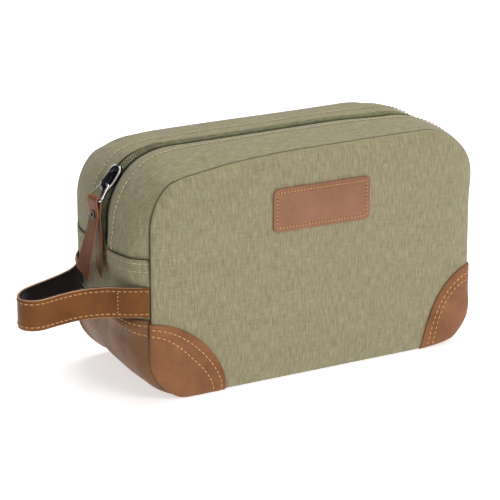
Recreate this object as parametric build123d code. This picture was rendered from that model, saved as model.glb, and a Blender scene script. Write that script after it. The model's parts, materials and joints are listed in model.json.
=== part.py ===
from build123d import *
import os
from math import cos, radians, sin, tan

# Toiletry bag: canvas body with leather lower corners, a zip over the top and a wrist strap.
# Frame: millimetres, +Z up, origin at the centre of the base, +X to the bag's right, front at -Y.

# ---- driving dimensions ----
SEAM_HALF_LENGTH = 124.5      # front and back panels, from the middle to the end seam
SEAM_TOP = 156.0              # height of the top seam
SEAM_HALF_DEPTH = 50.4        # from the middle to the front or back seam
TOP_RADIUS = 41.0             # corner radius of the panels at the top
LOW_RADIUS = 30.0             # corner radius of the panels at the bottom
END_SWELL = 8.0               # how far the ends bulge past the seams
LOW_CORNER_GROWTH = 1.5       # the low corner's radius grows by this share of the end's bulge
TOP_SWELL = 4.5               # how far the top bulges above the seams
ZIP_END_SWELL = 6.3           # the same, in the shallow valley along the zip
ZIP_TOP_SWELL = 2.0

CANVAS = 1.2
FOAM = 3.0
LINING = 0.6
SEAM_ALLOWANCE = 2.0          # the foam stops this far inside the front and back seams
BOARD = 2.0
PATCH_LEATHER = 1.4

CROSS_SEAM_Z = 96.7           # where the zip gussets end on each end of the bag
LEATHER_TOP_Z = 56.0          # top edge of the leather ends
LEATHER_REACH = 54.0          # how far the leather wraps under the base from the end seam
# Corner patches are quarters of an ellipse: reach along the base, and height.
PATCH_SIZES = {"left": (52.5, 53.5), "right": (41.0, 55.5)}

LABEL_SIZE = (73.5, 29.3)
LABEL_CENTRE = (1.5, 117.3)   # x, z
LABEL_CORNER = 4.0
LABEL_THICKNESS = 1.4

# Zip: coil chain on two tapes, in a slot between the gussets.
ZIP_SLOT_HALF = 8.0
TAPE_HALF = 16.0
TAPE = 0.8
TAPE_TAIL = 5.0               # tape that runs on below the cross seam
CHAIN_GAP_HALF = 0.8          # the slider's post runs in this gap
COIL_HALF = 3.0
COIL_PROUD = 0.8              # the coil stands this far above the canvas
LINING_SLOT_HALF = 12.0

# Slider, wire ring and leather pull.
SLIDER_ANGLE = 35.0           # degrees above the end of the bag, round the zip's corner
RING_WIRE_R = 0.8
RING_LENGTH = 12.0            # bar to bar
RING_TOP_HALF = 5.0
RING_LOW_HALF = 7.9
RING_DROOP = 50.0             # degrees below level
PULL_WIDTH = 12.2
PULL_LEATHER = 1.4
PIVOT_PLAY = 0.35

# Wrist strap: a band on edge, sewn into the front and back seams of the left end.
STRAP_LOW_Z = 56.7
STRAP_TOP_Z = 77.1
STRAP_LEATHER = 2.0
STRAP_SUEDE = 1.0
STRAP_HINGE_X = -146.0        # where the loop bends away from its sewn roots
STRAP_LIFT = 36.0             # degrees of lift or droop that the bend leaves room for
STRAP_GAP = 0.4

FAR = 400.0                   # larger than the bag, for cutting zones

# ---- derived ----
ZIP_CORNER_R = TOP_RADIUS + (ZIP_END_SWELL + ZIP_TOP_SWELL) / 2
ZIP_CORNER_X = -(SEAM_HALF_LENGTH + ZIP_END_SWELL - ZIP_CORNER_R)
ZIP_CORNER_Z = SEAM_TOP + ZIP_TOP_SWELL - ZIP_CORNER_R

os.makedirs("parts", exist_ok=True)


def save(name, shape):
    """Write one node, made of one or more closed solids."""
    export_step(Compound(children=list(shape.solids())), f"parts/{name}.step")


def zone(x=(-FAR, FAR), y=(-FAR, FAR), z=(-FAR, FAR)):
    """A box from its lowest to its highest corner, for cutting out a region."""
    centre = Location(((x[0] + x[1]) / 2, (y[0] + y[1]) / 2, (z[0] + z[1]) / 2))
    return centre * Box(x[1] - x[0], y[1] - y[0], z[1] - z[0])


def outline(y, end_swell=0.0, top_swell=0.0, inset=0.0):
    """The bag's rounded outline seen from the front, as a face at depth y."""
    half = SEAM_HALF_LENGTH + end_swell - inset
    top = SEAM_TOP + top_swell - inset
    top_r = TOP_RADIUS + (end_swell + top_swell) / 2 - inset
    low_r = LOW_RADIUS + end_swell * LOW_CORNER_GROWTH - inset
    corners = [(-half, inset), (-half, top), (half, top), (half, inset)]
    rim = FilletPolyline(*corners, radius=[low_r, top_r, top_r, low_r], close=True)
    return Plane.XZ.offset(-y) * make_face(rim)


# Depth stations of the swollen gusset: depth, share of the end swell, share of the top swell.
SWELL_STATIONS = [
    (SEAM_HALF_DEPTH, 0.0, 0.0),
    (46.0, 0.2, 0.14),
    (38.0, 0.66, 0.52),
    (30.0, 0.9, 0.88),
    (22.0, 1.0, 1.0),
    (15.0, 0.95, 0.88),
    (ZIP_SLOT_HALF, ZIP_END_SWELL / END_SWELL, ZIP_TOP_SWELL / TOP_SWELL),
]


def swollen(inset):
    """The whole gusset's envelope, inset from its outside, as one solid."""
    back = [(y, end, top) for y, end, top in SWELL_STATIONS]
    front = [(-y, end, top) for y, end, top in reversed(SWELL_STATIONS)]
    faces = [outline(y, end * END_SWELL, top * TOP_SWELL, inset) for y, end, top in back + front]
    return loft(faces, ruled=True)


def prism(y_low, y_high, inset):
    """The flat outline, extruded between two depths."""
    return loft([outline(y_low, inset=inset), outline(y_high, inset=inset)], ruled=True)


# Crown of the front panel: inset from the seam, rise above it.
CROWN = [(5.0, 2.2), (14.0, 3.6)]


def crown(outset):
    """A crowned solid in front of the front seam plane, its face moved out by outset."""
    if outset > 0:
        faces = [outline(-SEAM_HALF_DEPTH), outline(-SEAM_HALF_DEPTH - outset)]
    else:
        faces = [outline(-SEAM_HALF_DEPTH, inset=SEAM_ALLOWANCE)]
    faces += [outline(-SEAM_HALF_DEPTH - outset - rise, inset=inset) for inset, rise in CROWN]
    return loft(faces, ruled=True)


def to_back(shape):
    return mirror(shape, about=Plane.XZ)


# ---- panels and corner patches ----
crown_foam = crown(0.0)
crown_canvas = crown(CANVAS)
crown_leather = crown(CANVAS + PATCH_LEATHER)

front_panel = crown_canvas - crown_foam
save("front_panel", front_panel)
save("back_panel", to_back(front_panel))

leather_skin = crown_leather - crown_canvas
PATCH_CUT = 20.0              # how far the patches' cutting shape reaches each way
for side, sign in (("left", -1), ("right", 1)):
    corner = Location((sign * SEAM_HALF_LENGTH, -SEAM_HALF_DEPTH, 0), (90, 0, 0))
    patch = leather_skin & extrude(corner * Ellipse(*PATCH_SIZES[side]), PATCH_CUT, both=True)
    save(f"front_{side}_corner_patch", patch)
    save(f"back_{side}_corner_patch", to_back(patch))

crown_front_y = -(SEAM_HALF_DEPTH + CANVAS + CROWN[-1][1])
label_face = Plane.XZ.offset(-crown_front_y) * Location((*LABEL_CENTRE, 0)) * RectangleRounded(
    *LABEL_SIZE, LABEL_CORNER
)
save("label_patch", extrude(label_face, LABEL_THICKNESS))

# ---- gusset: canvas over the top and ends, leather below, canvas base ----
envelope = swollen(0)
under_canvas = swollen(CANVAS)
canvas_layer = envelope - under_canvas
front_side = (-SEAM_HALF_DEPTH, -ZIP_SLOT_HALF)
back_side = (ZIP_SLOT_HALF, SEAM_HALF_DEPTH)
leather_x = SEAM_HALF_LENGTH - LEATHER_REACH

save("front_zip_gusset", canvas_layer & zone(y=front_side, z=(CROSS_SEAM_Z, FAR)))
save("back_zip_gusset", canvas_layer & zone(y=back_side, z=(CROSS_SEAM_Z, FAR)))
for side, x_end, x_leather in (
    ("left", (-FAR, 0), (-FAR, -leather_x)),
    ("right", (0, FAR), (leather_x, FAR)),
):
    save(f"{side}_end_panel", canvas_layer & zone(x=x_end, z=(LEATHER_TOP_Z, CROSS_SEAM_Z)))
    save(f"{side}_leather_end", canvas_layer & zone(x=x_leather, z=(-FAR, LEATHER_TOP_Z)))
save("base_panel", canvas_layer & zone(x=(-leather_x, leather_x), z=(-FAR, LEATHER_TOP_Z)))

# ---- zip tapes and coils ----
under_tape = swollen(CANVAS + TAPE)
coil_top = swollen(-COIL_PROUD)
tape_layer = under_canvas - under_tape
coil_layer = coil_top - under_canvas
for side, sign in (("front", -1), ("back", 1)):
    tape_y = sorted((sign * CHAIN_GAP_HALF, sign * TAPE_HALF))
    coil_y = sorted((sign * CHAIN_GAP_HALF, sign * COIL_HALF))
    save(f"{side}_zip_tape", tape_layer & zone(y=tape_y, z=(CROSS_SEAM_Z - TAPE_TAIL, FAR)))
    save(f"{side}_zip_coil", coil_layer & zone(y=coil_y, z=(CROSS_SEAM_Z, FAR)))

# ---- inside: foam, board and lining ----
foam_edge = SEAM_HALF_DEPTH - FOAM
lining_edge = foam_edge - LINING
front_foam = crown_foam + prism(-SEAM_HALF_DEPTH, -foam_edge, SEAM_ALLOWANCE)
save("front_foam", front_foam)
save("back_foam", to_back(front_foam))

front_lining = prism(-foam_edge, -lining_edge, CANVAS + FOAM)
save("front_lining", front_lining)
save("back_lining", to_back(front_lining))

under_foam = swollen(CANVAS + FOAM)
board_half = SEAM_HALF_LENGTH + END_SWELL - LOW_RADIUS - END_SWELL * LOW_CORNER_GROWTH - CANVAS
zip_opening = zone(y=(-TAPE_HALF, TAPE_HALF), z=(CROSS_SEAM_Z - TAPE_TAIL, FAR))
base_zone = zone(x=(-board_half, board_half), z=(-FAR, CANVAS + FOAM))
foam_band = (under_canvas - under_foam) & zone(y=(-foam_edge, foam_edge))
save("gusset_foam", foam_band - zip_opening - base_zone)
save(
    "base_board",
    zone(x=(-board_half, board_half), y=(-foam_edge, foam_edge), z=(CANVAS, CANVAS + BOARD)),
)
lining_slot = zone(y=(-LINING_SLOT_HALF, LINING_SLOT_HALF), z=(CROSS_SEAM_Z, FAR))
lining_band = (under_foam - swollen(CANVAS + FOAM + LINING)) & zone(y=(-lining_edge, lining_edge))
save("gusset_lining", lining_band - lining_slot)

# ---- zip slider, on the corner of the zip ----
# Its own frame: x down the zip, z out of the bag, origin at the canvas level in mid-slot.
outward = Vector(-cos(radians(SLIDER_ANGLE)), 0, sin(radians(SLIDER_ANGLE)))
down_zip = Vector(-sin(radians(SLIDER_ANGLE)), 0, -cos(radians(SLIDER_ANGLE)))
zip_corner = Vector(ZIP_CORNER_X, 0, ZIP_CORNER_Z)
slider_frame = Plane(zip_corner + outward * ZIP_CORNER_R, x_dir=down_zip, z_dir=outward)

PLATE_LOW = 1.3
PLATE_TOP = 2.7
PLATE_OUTLINE = [(-8.4, 4.3), (-6.0, 6.5), (3.4, 6.5), (10.4, 3.5)]
PLATE_CORNER_R = 1.2
LIP_INNER = 4.2
LIP_LOW = -0.7
LIP_LENGTH = 7.0
LIP_X = -1.0
SOLE_TOP = -3.2
SOLE_LOW = -4.1
SOLE_SIZE = (12.0, 9.0)
SOLE_X = -0.5
POST_LENGTH = 4.0
POST_HALF = 0.5
POST_X = -3.5


def plate_face():
    """The slider's shield outline."""
    far_side = [(x, -y) for x, y in reversed(PLATE_OUTLINE)]
    rim = FilletPolyline(*PLATE_OUTLINE, *far_side, radius=PLATE_CORNER_R, close=True)
    return make_face(rim)


plate = Pos(0, 0, PLATE_LOW) * extrude(plate_face(), PLATE_TOP - PLATE_LOW)
lips = Pos(0, 0, LIP_LOW) * extrude(plate_face(), PLATE_LOW - LIP_LOW)
lips -= Pos(0, 0, LIP_LOW) * Box(2 * FAR, 2 * LIP_INNER, 2 * FAR)
lips &= Pos(LIP_X, 0, 0) * Box(LIP_LENGTH, FAR, FAR)
post_height = PLATE_LOW - SOLE_TOP
post = Pos(POST_X, 0, SOLE_TOP + post_height / 2) * Box(POST_LENGTH, 2 * POST_HALF, post_height)
sole = Pos(SOLE_X, 0, (SOLE_TOP + SOLE_LOW) / 2) * Box(*SOLE_SIZE, SOLE_TOP - SOLE_LOW)
slider = plate + lips + post + sole
save("zip_slider", slider_frame * slider)

# The bridge on top of the slider, which the wire ring's bar turns in.
BRIDGE_HALF = 1.7
BRIDGE_OUTER = [(-4.8, PLATE_TOP), (-2.6, 5.2), (5.0, 6.2), (8.4, 5.4), (8.4, PLATE_TOP)]
BRIDGE_INNER = [(-2.6, PLATE_TOP), (-1.4, 4.2), (5.0, 5.2), (7.4, 4.8), (7.4, PLATE_TOP)]
RING_BAR_AT = (6.1, 4.0)      # x, z in the slider's frame
side_plane = Plane.XZ.offset(-BRIDGE_HALF)
bridge_face = make_face(Polyline(*BRIDGE_OUTER, close=True))
bridge_face -= make_face(Polyline(*BRIDGE_INNER, close=True))
bridge = extrude(side_plane * bridge_face, 2 * BRIDGE_HALF)
save("slider_bridge", slider_frame * bridge)

# ---- wire ring ----
RING_CORNER_R = 1.3
ring_pivot = slider_frame.from_local_coords(Vector(RING_BAR_AT[0], 0, RING_BAR_AT[1]))
droop = Vector(-cos(radians(RING_DROOP)), 0, -sin(radians(RING_DROOP)))
ring_plane = Plane(ring_pivot, x_dir=droop, z_dir=Vector(droop.Z, 0, -droop.X))
ring_corners = [(0, -RING_TOP_HALF), (RING_LENGTH, -RING_LOW_HALF), (RING_LENGTH, RING_LOW_HALF),
                (0, RING_TOP_HALF)]
ring_path = ring_plane * FilletPolyline(*ring_corners, radius=RING_CORNER_R, close=True)
ring_start = Plane(ring_path @ 0, z_dir=ring_path % 0)
save("pull_ring", sweep(ring_start * Circle(RING_WIRE_R), ring_path))

# ---- leather pull: a strip folded over the ring's lower bar, with two tails ----
pull_pivot = ring_pivot + droop * RING_LENGTH
fold_inner_r = RING_WIRE_R + PIVOT_PLAY
fold_outer_r = fold_inner_r + PULL_LEATHER
fold_mid_r = fold_inner_r + PULL_LEATHER / 2
EYELET_DROP = 10.0            # below the ring's lower bar
PULL_DROP = 52.5
OUTER_TAIL_OUT = -9.8         # how far the outer tail's end stands off, along X
INNER_TAIL_OUT = 0.6


def pull_strip(first_x, waist_x, end_x):
    """One tail's side profile: down from the fold, in to the eyelet, out to its end."""
    return Polyline((first_x, 0), (waist_x, -EYELET_DROP), (end_x, -PULL_DROP))


half_leather = PULL_LEATHER / 2
outer_tail = trace(pull_strip(-fold_mid_r, -half_leather, OUTER_TAIL_OUT), PULL_LEATHER)
inner_tail = trace(pull_strip(fold_mid_r, half_leather, INNER_TAIL_OUT), PULL_LEATHER)
fold = Circle(fold_outer_r) - Circle(fold_inner_r)
fold &= Pos(0, fold_outer_r / 2) * Rectangle(4 * fold_outer_r, fold_outer_r)
pull_face = outer_tail + inner_tail + fold
pull_plane = Plane(pull_pivot - Vector(0, PULL_WIDTH / 2, 0), x_dir=(1, 0, 0), z_dir=(0, -1, 0))
pull = extrude(pull_plane * pull_face, -PULL_WIDTH)

# Slanted tail ends: longer at the front edge than at the back edge.
TAIL_SLANT = 30.0
TAIL_CUT_RISE = 1.5
CUT_SIZE = 60.0
tail_cut_z = pull_pivot.Z - PULL_DROP + TAIL_CUT_RISE
tail_cut = Location((pull_pivot.X, 0, tail_cut_z), (TAIL_SLANT, 0, 0))
pull -= tail_cut * Pos(0, 0, -CUT_SIZE / 2) * Box(CUT_SIZE, CUT_SIZE, CUT_SIZE)

EYELET_HOLE_R = 1.5
EYELET_TUBE_R = 1.9
EYELET_FLANGE_R = 2.9
EYELET_FLANGE = 0.7
EYELET_PLAY = 0.1
LEATHER_PLAY = 0.3
BORE_LENGTH = 20.0
eyelet_at = Location((pull_pivot.X, 0, pull_pivot.Z - EYELET_DROP), (0, 90, 0))
leather_stack = 2 * PULL_LEATHER + LEATHER_PLAY
flange_seat = eyelet_at * Cylinder(EYELET_FLANGE_R + EYELET_PLAY, BORE_LENGTH)
pull -= flange_seat & zone(x=(pull_pivot.X + leather_stack / 2, FAR))
pull -= flange_seat & zone(x=(-FAR, pull_pivot.X - leather_stack / 2))
pull -= eyelet_at * Cylinder(EYELET_TUBE_R, BORE_LENGTH)
save("pull_tab", pull)

tube = Cylinder(EYELET_TUBE_R, leather_stack)
flanges = [
    Pos(0, 0, sign * (leather_stack + EYELET_FLANGE) / 2) * Cylinder(EYELET_FLANGE_R, EYELET_FLANGE)
    for sign in (-1, 1)
]
eyelet = tube + flanges - Cylinder(EYELET_HOLE_R, BORE_LENGTH)
save("pull_eyelet", eyelet_at * eyelet)

# ---- wrist strap ----
# Route of the face between leather and suede, from the front seam round to the back seam,
# with the radius of each corner between the two ends.
STRAP_ROUTE = [
    ((-125.9, -49.8), None),
    ((-131.0, -42.3), 20.0),
    ((-142.5, -30.8), 14.0),
    ((-161.0, -25.0), 40.0),
    ((-182.0, -29.2), 60.0),
    ((-200.6, -34.6), 8.0),
    ((-201.8, -20.5), 12.0),
    ((-194.0, -8.5), 13.0),
    ((-168.0, 3.2), 60.0),
    ((-148.5, 13.0), 40.0),
    ((-137.0, 25.0), 25.0),
    ((-132.4, 37.5), 20.0),
    ((-126.2, 50.3), None),
]
strap_line = FilletPolyline(
    *[point for point, radius in STRAP_ROUTE],
    radius=[radius for point, radius in STRAP_ROUTE if radius],
)


def strap_band(thickness, side):
    """A band of the strap's width on one side of its route."""
    face = make_face(offset(strap_line, thickness, side=side, kind=Kind.ARC, closed=True))
    return Pos(0, 0, STRAP_LOW_Z) * extrude(face, STRAP_TOP_Z - STRAP_LOW_Z)


WEDGE_MARGIN = 2.0            # the wedge reaches this far past the strap's edges
strap_mid_z = (STRAP_LOW_Z + STRAP_TOP_Z) / 2
wedge_half = (STRAP_TOP_Z - STRAP_LOW_Z) / 2 + WEDGE_MARGIN
wedge_tip_x = STRAP_HINGE_X - STRAP_GAP
wedge_far_x = wedge_tip_x - wedge_half * tan(radians(STRAP_LIFT))
wedge = make_face(
    Polyline(
        (wedge_tip_x, strap_mid_z),
        (wedge_far_x, strap_mid_z + wedge_half),
        (0, strap_mid_z + wedge_half),
        (0, strap_mid_z - wedge_half),
        (wedge_far_x, strap_mid_z - wedge_half),
        close=True,
    )
)
root_side = extrude(Plane.XZ.offset(-FAR / 2) * wedge, FAR)
leather_band = strap_band(STRAP_LEATHER, Side.LEFT)
suede_band = strap_band(STRAP_SUEDE, Side.RIGHT)
save("strap_loop", leather_band - root_side)
save("strap_lining", suede_band - root_side)
roots = (leather_band + suede_band) & zone(x=(STRAP_HINGE_X, 0))
save("strap_front_root", roots & zone(y=(-FAR, 0)))
save("strap_back_root", roots & zone(y=(0, FAR)))
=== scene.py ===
"""Toiletry bag, the visual model: canvas, leather, zip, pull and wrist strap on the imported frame.

Lengths in this file are millimetres, in the frame's axes, and become metres when a mesh is made.
"""

import json
import math

import bpy
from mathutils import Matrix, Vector, noise


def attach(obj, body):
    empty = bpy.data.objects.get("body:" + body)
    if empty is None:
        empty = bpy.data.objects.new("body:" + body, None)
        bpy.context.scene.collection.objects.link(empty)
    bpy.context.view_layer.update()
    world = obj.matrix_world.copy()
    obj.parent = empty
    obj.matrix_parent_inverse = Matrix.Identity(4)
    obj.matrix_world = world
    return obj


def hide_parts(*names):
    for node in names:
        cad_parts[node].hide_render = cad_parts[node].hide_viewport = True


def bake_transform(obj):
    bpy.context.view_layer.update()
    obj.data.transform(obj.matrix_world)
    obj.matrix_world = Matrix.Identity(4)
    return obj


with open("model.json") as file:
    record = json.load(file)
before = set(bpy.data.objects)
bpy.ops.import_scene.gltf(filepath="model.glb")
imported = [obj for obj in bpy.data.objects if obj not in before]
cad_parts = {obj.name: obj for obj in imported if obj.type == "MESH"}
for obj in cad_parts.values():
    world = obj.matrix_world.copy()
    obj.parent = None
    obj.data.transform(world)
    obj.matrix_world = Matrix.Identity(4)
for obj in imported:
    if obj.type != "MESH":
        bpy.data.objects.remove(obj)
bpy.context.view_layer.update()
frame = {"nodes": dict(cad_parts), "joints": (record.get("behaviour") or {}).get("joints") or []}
MM = 0.001

# ---- the bag's dimensions, as in the CAD ----
SEAM_HALF_LENGTH = 124.5
SEAM_TOP = 156.0
SEAM_HALF_DEPTH = 50.4
TOP_RADIUS = 41.0
LOW_RADIUS = 30.0
END_SWELL = 8.0
LOW_CORNER_GROWTH = 1.5
TOP_SWELL = 4.5
CROSS_SEAM_Z = 96.7
LEATHER_TOP_Z = 56.0
LEATHER_X = 70.5
MIDDLE_Z = SEAM_TOP / 2
BAG_MIDDLE = Vector((0.0, 0.0, MIDDLE_Z))
SIDES = (("front", -1), ("back", 1))
ENDS = (("left", -1), ("right", 1))


def srgb(red, green, blue):
    """A display colour, 0 to 255, as the linear colour that a shader takes."""
    def linear(value):
        value /= 255
        return value / 12.92 if value <= 0.04045 else ((value + 0.055) / 1.055) ** 2.4

    return (linear(red), linear(green), linear(blue), 1.0)


def between(value, low, high):
    """0 below low, 1 above high, and smooth between them."""
    t = min(1.0, max(0.0, (value - low) / (high - low)))
    return t * t * (3 - 2 * t)


def table(value, stations):
    """A smooth curve through (place, height) stations that never overshoots them."""
    if value <= stations[0][0]:
        return stations[0][1]
    if value >= stations[-1][0]:
        return stations[-1][1]
    slopes = [
        (b[1] - a[1]) / (b[0] - a[0]) for a, b in zip(stations, stations[1:])
    ]
    k = next(i for i, (place, _) in enumerate(stations[1:]) if value <= place)

    def tangent(i):
        if i == 0:
            return slopes[0]
        if i == len(slopes):
            return slopes[-1]
        before, after = slopes[i - 1], slopes[i]
        return 0.0 if before * after <= 0 else 2 * before * after / (before + after)

    (x0, y0), (x1, y1) = stations[k], stations[k + 1]
    width = x1 - x0
    t = (value - x0) / width
    return (
        y0 * (1 + 2 * t) * (1 - t) ** 2
        + tangent(k) * width * t * (1 - t) ** 2
        + y1 * t * t * (3 - 2 * t)
        + tangent(k + 1) * width * t * t * (t - 1)
    )


def straight(value, stations):
    """Straight lines through (place, height) stations."""
    for (x0, y0), (x1, y1) in zip(stations, stations[1:]):
        if value <= x1:
            return y0 + (y1 - y0) * (value - x0) / (x1 - x0)
    return stations[-1][1]


def spread(start, end, step):
    """Evenly spaced values from start to end, about a step apart."""
    count = max(1, round(abs(end - start) / step))
    return [start + (end - start) * i / count for i in range(count + 1)]


def ripple(x, y, z, size):
    """Soft unevenness, from -1 to 1, with bumps of about a size."""
    return noise.noise(Vector((x, y, z)) / size)


# ---- the bag's outline, walked from the middle of the base over one end to the top ----
RUN_LOW = SEAM_HALF_LENGTH - LOW_RADIUS
RUN_SIDE = RUN_LOW + LOW_RADIUS * math.pi / 2
RUN_CORNER = RUN_SIDE + SEAM_TOP - TOP_RADIUS - LOW_RADIUS
RUN_TOP = RUN_CORNER + TOP_RADIUS * math.pi / 2
RUN_MIDDLE = RUN_TOP + SEAM_HALF_LENGTH - TOP_RADIUS
RUN_LEATHER = RUN_SIDE + LEATHER_TOP_Z - LOW_RADIUS
RUN_CROSS = RUN_SIDE + CROSS_SEAM_Z - LOW_RADIUS


def opposite(run):
    """The same place on the other half of the outline."""
    return 2 * RUN_MIDDLE - run


def outline_at(run, end=0.0, top=0.0, inset=0.0):
    """Point and outward normal, as (x, z) pairs, of the outline at a swell and an inset."""
    side = -1
    if run > RUN_MIDDLE:
        run = opposite(run)
        side = 1
    low_r = LOW_RADIUS + end * LOW_CORNER_GROWTH - inset
    top_r = TOP_RADIUS + (end + top) / 2 - inset
    half = SEAM_HALF_LENGTH + end - inset
    high = SEAM_TOP + top - inset
    if run <= RUN_LOW:
        x = straight(run, [(0, 0), (LEATHER_X, LEATHER_X), (RUN_LOW, half - low_r)])
        return (side * x, inset), (0.0, -1.0)
    if run <= RUN_SIDE:
        turn = (run - RUN_LOW) / LOW_RADIUS
        sine, cosine = math.sin(turn), math.cos(turn)
        return (
            (side * (half - low_r + low_r * sine), inset + low_r - low_r * cosine),
            (side * sine, -cosine),
        )
    if run <= RUN_CORNER:
        z = straight(run, [(RUN_SIDE, inset + low_r), (RUN_LEATHER, LEATHER_TOP_Z),
                           (RUN_CROSS, CROSS_SEAM_Z), (RUN_CORNER, high - top_r)])
        return (side * half, z), (float(side), 0.0)
    if run <= RUN_TOP:
        turn = (run - RUN_CORNER) / TOP_RADIUS
        sine, cosine = math.sin(turn), math.cos(turn)
        return (
            (side * (half - top_r + top_r * cosine), high - top_r + top_r * sine),
            (side * cosine, sine),
        )
    share = (RUN_MIDDLE - run) / (RUN_MIDDLE - RUN_TOP)
    return (side * (half - top_r) * share, high), (0.0, 1.0)


END_SHARES = [(8.0, 0.79), (15.0, 0.95), (22.0, 1.0), (30.0, 0.9), (38.0, 0.66), (46.0, 0.2), (50.4, 0.0)]
TOP_SHARES = [(8.0, 0.444), (15.0, 0.88), (22.0, 1.0), (30.0, 0.88), (38.0, 0.52), (46.0, 0.14), (50.4, 0.0)]

# The soft left end stands proud in front, under and over the strap's front root, in millimetres.
PUFF_BY_HEIGHT = [(0, 0.6), (8, 1.6), (16, 2.0), (34, 2.3), (50, 3.4), (57, 1.2), (67, 0.6), (77, 1.2),
                  (88, 3.4), (100, 3.6), (118, 1.8), (145, 0.3), (156, 0)]
PUFF_BY_DEPTH = [(-50.4, 0.1), (-48, 0.55), (-46, 1.0), (-41.5, 1.4), (-34, 1.1), (-20, 0.95), (-13, 0.9),
                 (-8.5, 0.15), (8, 0.1), (22, 0.05), (50.4, 0.0)]
PUFF_LOW_DEPTH = [(-50.4, 0.1), (-48, 0.55), (-46, 1.0), (-41.5, 1.4), (-34, 1.12), (-13, 0.9), (8, 0.4),
                  (22, -0.3), (36, -0.8), (46, -0.6), (50.4, 0.0)]
RIGHT_PUFF = 0.12


def puff(run, depth):
    """How far the soft ends stand proud of the CAD's layers."""
    (x, z), _ = outline_at(run)
    if x > 0:
        return RIGHT_PUFF * table(z, PUFF_BY_HEIGHT) * between(SEAM_HALF_DEPTH - abs(depth), 0, 8)
    low_down = between(z, 72, 50) if z > 50 else 1.0
    across = table(depth, PUFF_LOW_DEPTH) * low_down + table(depth, PUFF_BY_DEPTH) * (1 - low_down)
    return table(z, PUFF_BY_HEIGHT) * across


# The filled bag settles: how far its top sits below the CAD's, by place along X, on five lines
# from the front seam over the zip to the back seam, in millimetres.
SETTLE_X = (-124, -113, -102, -90, -65, -20, 40, 84, 104, 124)
SETTLE_LINES = [
    (-50, (0.0, 0.8, 4.0, 6.0, 3.2, 0.8, 0.4, 0.4, 0.3, 0.0)),
    (-28, (0.0, 0.2, 1.5, 2.6, 2.0, 1.2, 1.2, 3.0, 3.6, 1.5)),
    (0, (0.0, 0.1, 0.9, 1.2, 1.2, 1.0, 0.6, 2.4, 1.6, 0.0)),
    (28, (0.0, 1.0, 4.0, 4.8, 4.6, 4.5, 4.5, 4.2, 2.6, 0.0)),
    (50, (0.0, 1.0, 4.0, 4.5, 3.4, 3.2, 3.4, 3.2, 1.2, 0.0)),
]
SETTLE_STATIONS = [(depth, list(zip(SETTLE_X, drops))) for depth, drops in SETTLE_LINES]
# The low corners: lifted off the ground at the back left and right, and the right one pushed out.
BACK_CORNER_LIFT = 4.2
RIGHT_CORNER_LIFT = 2.4
RIGHT_CORNER_PUSH = 2.2
# How far the right end stands out, or in, by height.
RIGHT_SHIFT = [(0, -0.8), (30, -1.6), (50, -1.1), (100, -1.1), (118, 0.2), (135, 1.5), (156, 1.2)]


def settle(point):
    """Move a point of the soft bag to where it settles."""
    x, y, z = point
    high = between(z, 112, 150)
    if high:
        z -= high * table(y, [(depth, table(x, drops)) for depth, drops in SETTLE_STATIONS])
    low = between(60 - z, 0, 30)
    lift = BACK_CORNER_LIFT * between(-x, 84, 118) * between(y, -35, 45)
    lift += RIGHT_CORNER_LIFT * between(x, 74, 112)
    push = RIGHT_CORNER_PUSH * between(x - z, 84, 110)
    shift = table(z, RIGHT_SHIFT) * between(x, 96, 122)
    return Vector((x + shift + push, y, z + lift * low - min(push, z * 0.5)))


GUSSET_UNEVEN = 0.45
GUSSET_BUMP = 24


def gusset_at(run, depth, out=0.0):
    """A point of the gusset's outside, moved out of the bag by out."""
    d = abs(depth)
    end = END_SWELL * table(d, END_SHARES)
    top = TOP_SWELL * table(d, TOP_SHARES)
    (x, z), (nx, nz) = outline_at(run, end, top)
    soft = between(SEAM_HALF_DEPTH - d, 0, 12) * between(d, 9, 16)
    lift = out + puff(run, depth) + GUSSET_UNEVEN * soft * ripple(x, depth, z, GUSSET_BUMP)
    return settle(Vector((x + nx * lift, depth, max(0.05, z + nz * lift))))


def gusset_normal(run, depth, out=0.0):
    """The outward direction of the gusset at a place."""
    along = gusset_at(run + 0.5, depth, out) - gusset_at(run - 0.5, depth, out)
    across = gusset_at(run, depth + 0.4, out) - gusset_at(run, depth - 0.4, out)
    normal = along.cross(across).normalized()
    return normal if normal.dot(gusset_at(run, depth, out) - BAG_MIDDLE) > 0 else -normal


# ---- the front and back panels ----
# The edge rolls out of the seam: distance in from the edge along the cloth, and there the
# inset from the seam and the rise above it.
EDGE_INSET = [(0, 1.1), (0.5, 0.5), (1.0, 0.32), (1.5, 0.42), (2.1, 0.85), (2.7, 1.5), (3.4, 2.5),
              (4.6, 4.2), (6, 6), (14, 14)]
EDGE_RISE = [(0, -0.3), (0.5, 0.2), (1.0, 0.7), (1.5, 1.2), (2.1, 1.75), (2.7, 2.2), (3.4, 2.7),
             (4.6, 3.3), (6, 3.8), (9, 4.45), (14, 5.0)]
PANEL_CROWN = 1.3
CROWN_HALF_LENGTH = 125
PANEL_BUMPS = ((0.35, 40, 27), (0.12, 90, 9))    # height, where the noise is read, size


def inset_of(x, z):
    """How far inside the seam line a place is, and the direction further in."""
    side = 1 if x > 0 else -1
    corner_x = SEAM_HALF_LENGTH - (LOW_RADIUS if z < MIDDLE_Z else TOP_RADIUS)
    radius = SEAM_HALF_LENGTH - corner_x
    corner_z = LOW_RADIUS if z < MIDDLE_Z else SEAM_TOP - TOP_RADIUS
    dx, dz = abs(x) - corner_x, (corner_z - z if z < MIDDLE_Z else z - corner_z)
    up = 1 if z < MIDDLE_Z else -1
    if dx > 0 and dz > 0:
        reach = math.hypot(dx, dz)
        return radius - reach, (-side * dx / reach, up * dz / reach)
    if SEAM_HALF_LENGTH - abs(x) < radius - dz:
        return SEAM_HALF_LENGTH - abs(x), (-side, 0.0)
    return radius - dz, (0.0, up)


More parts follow.
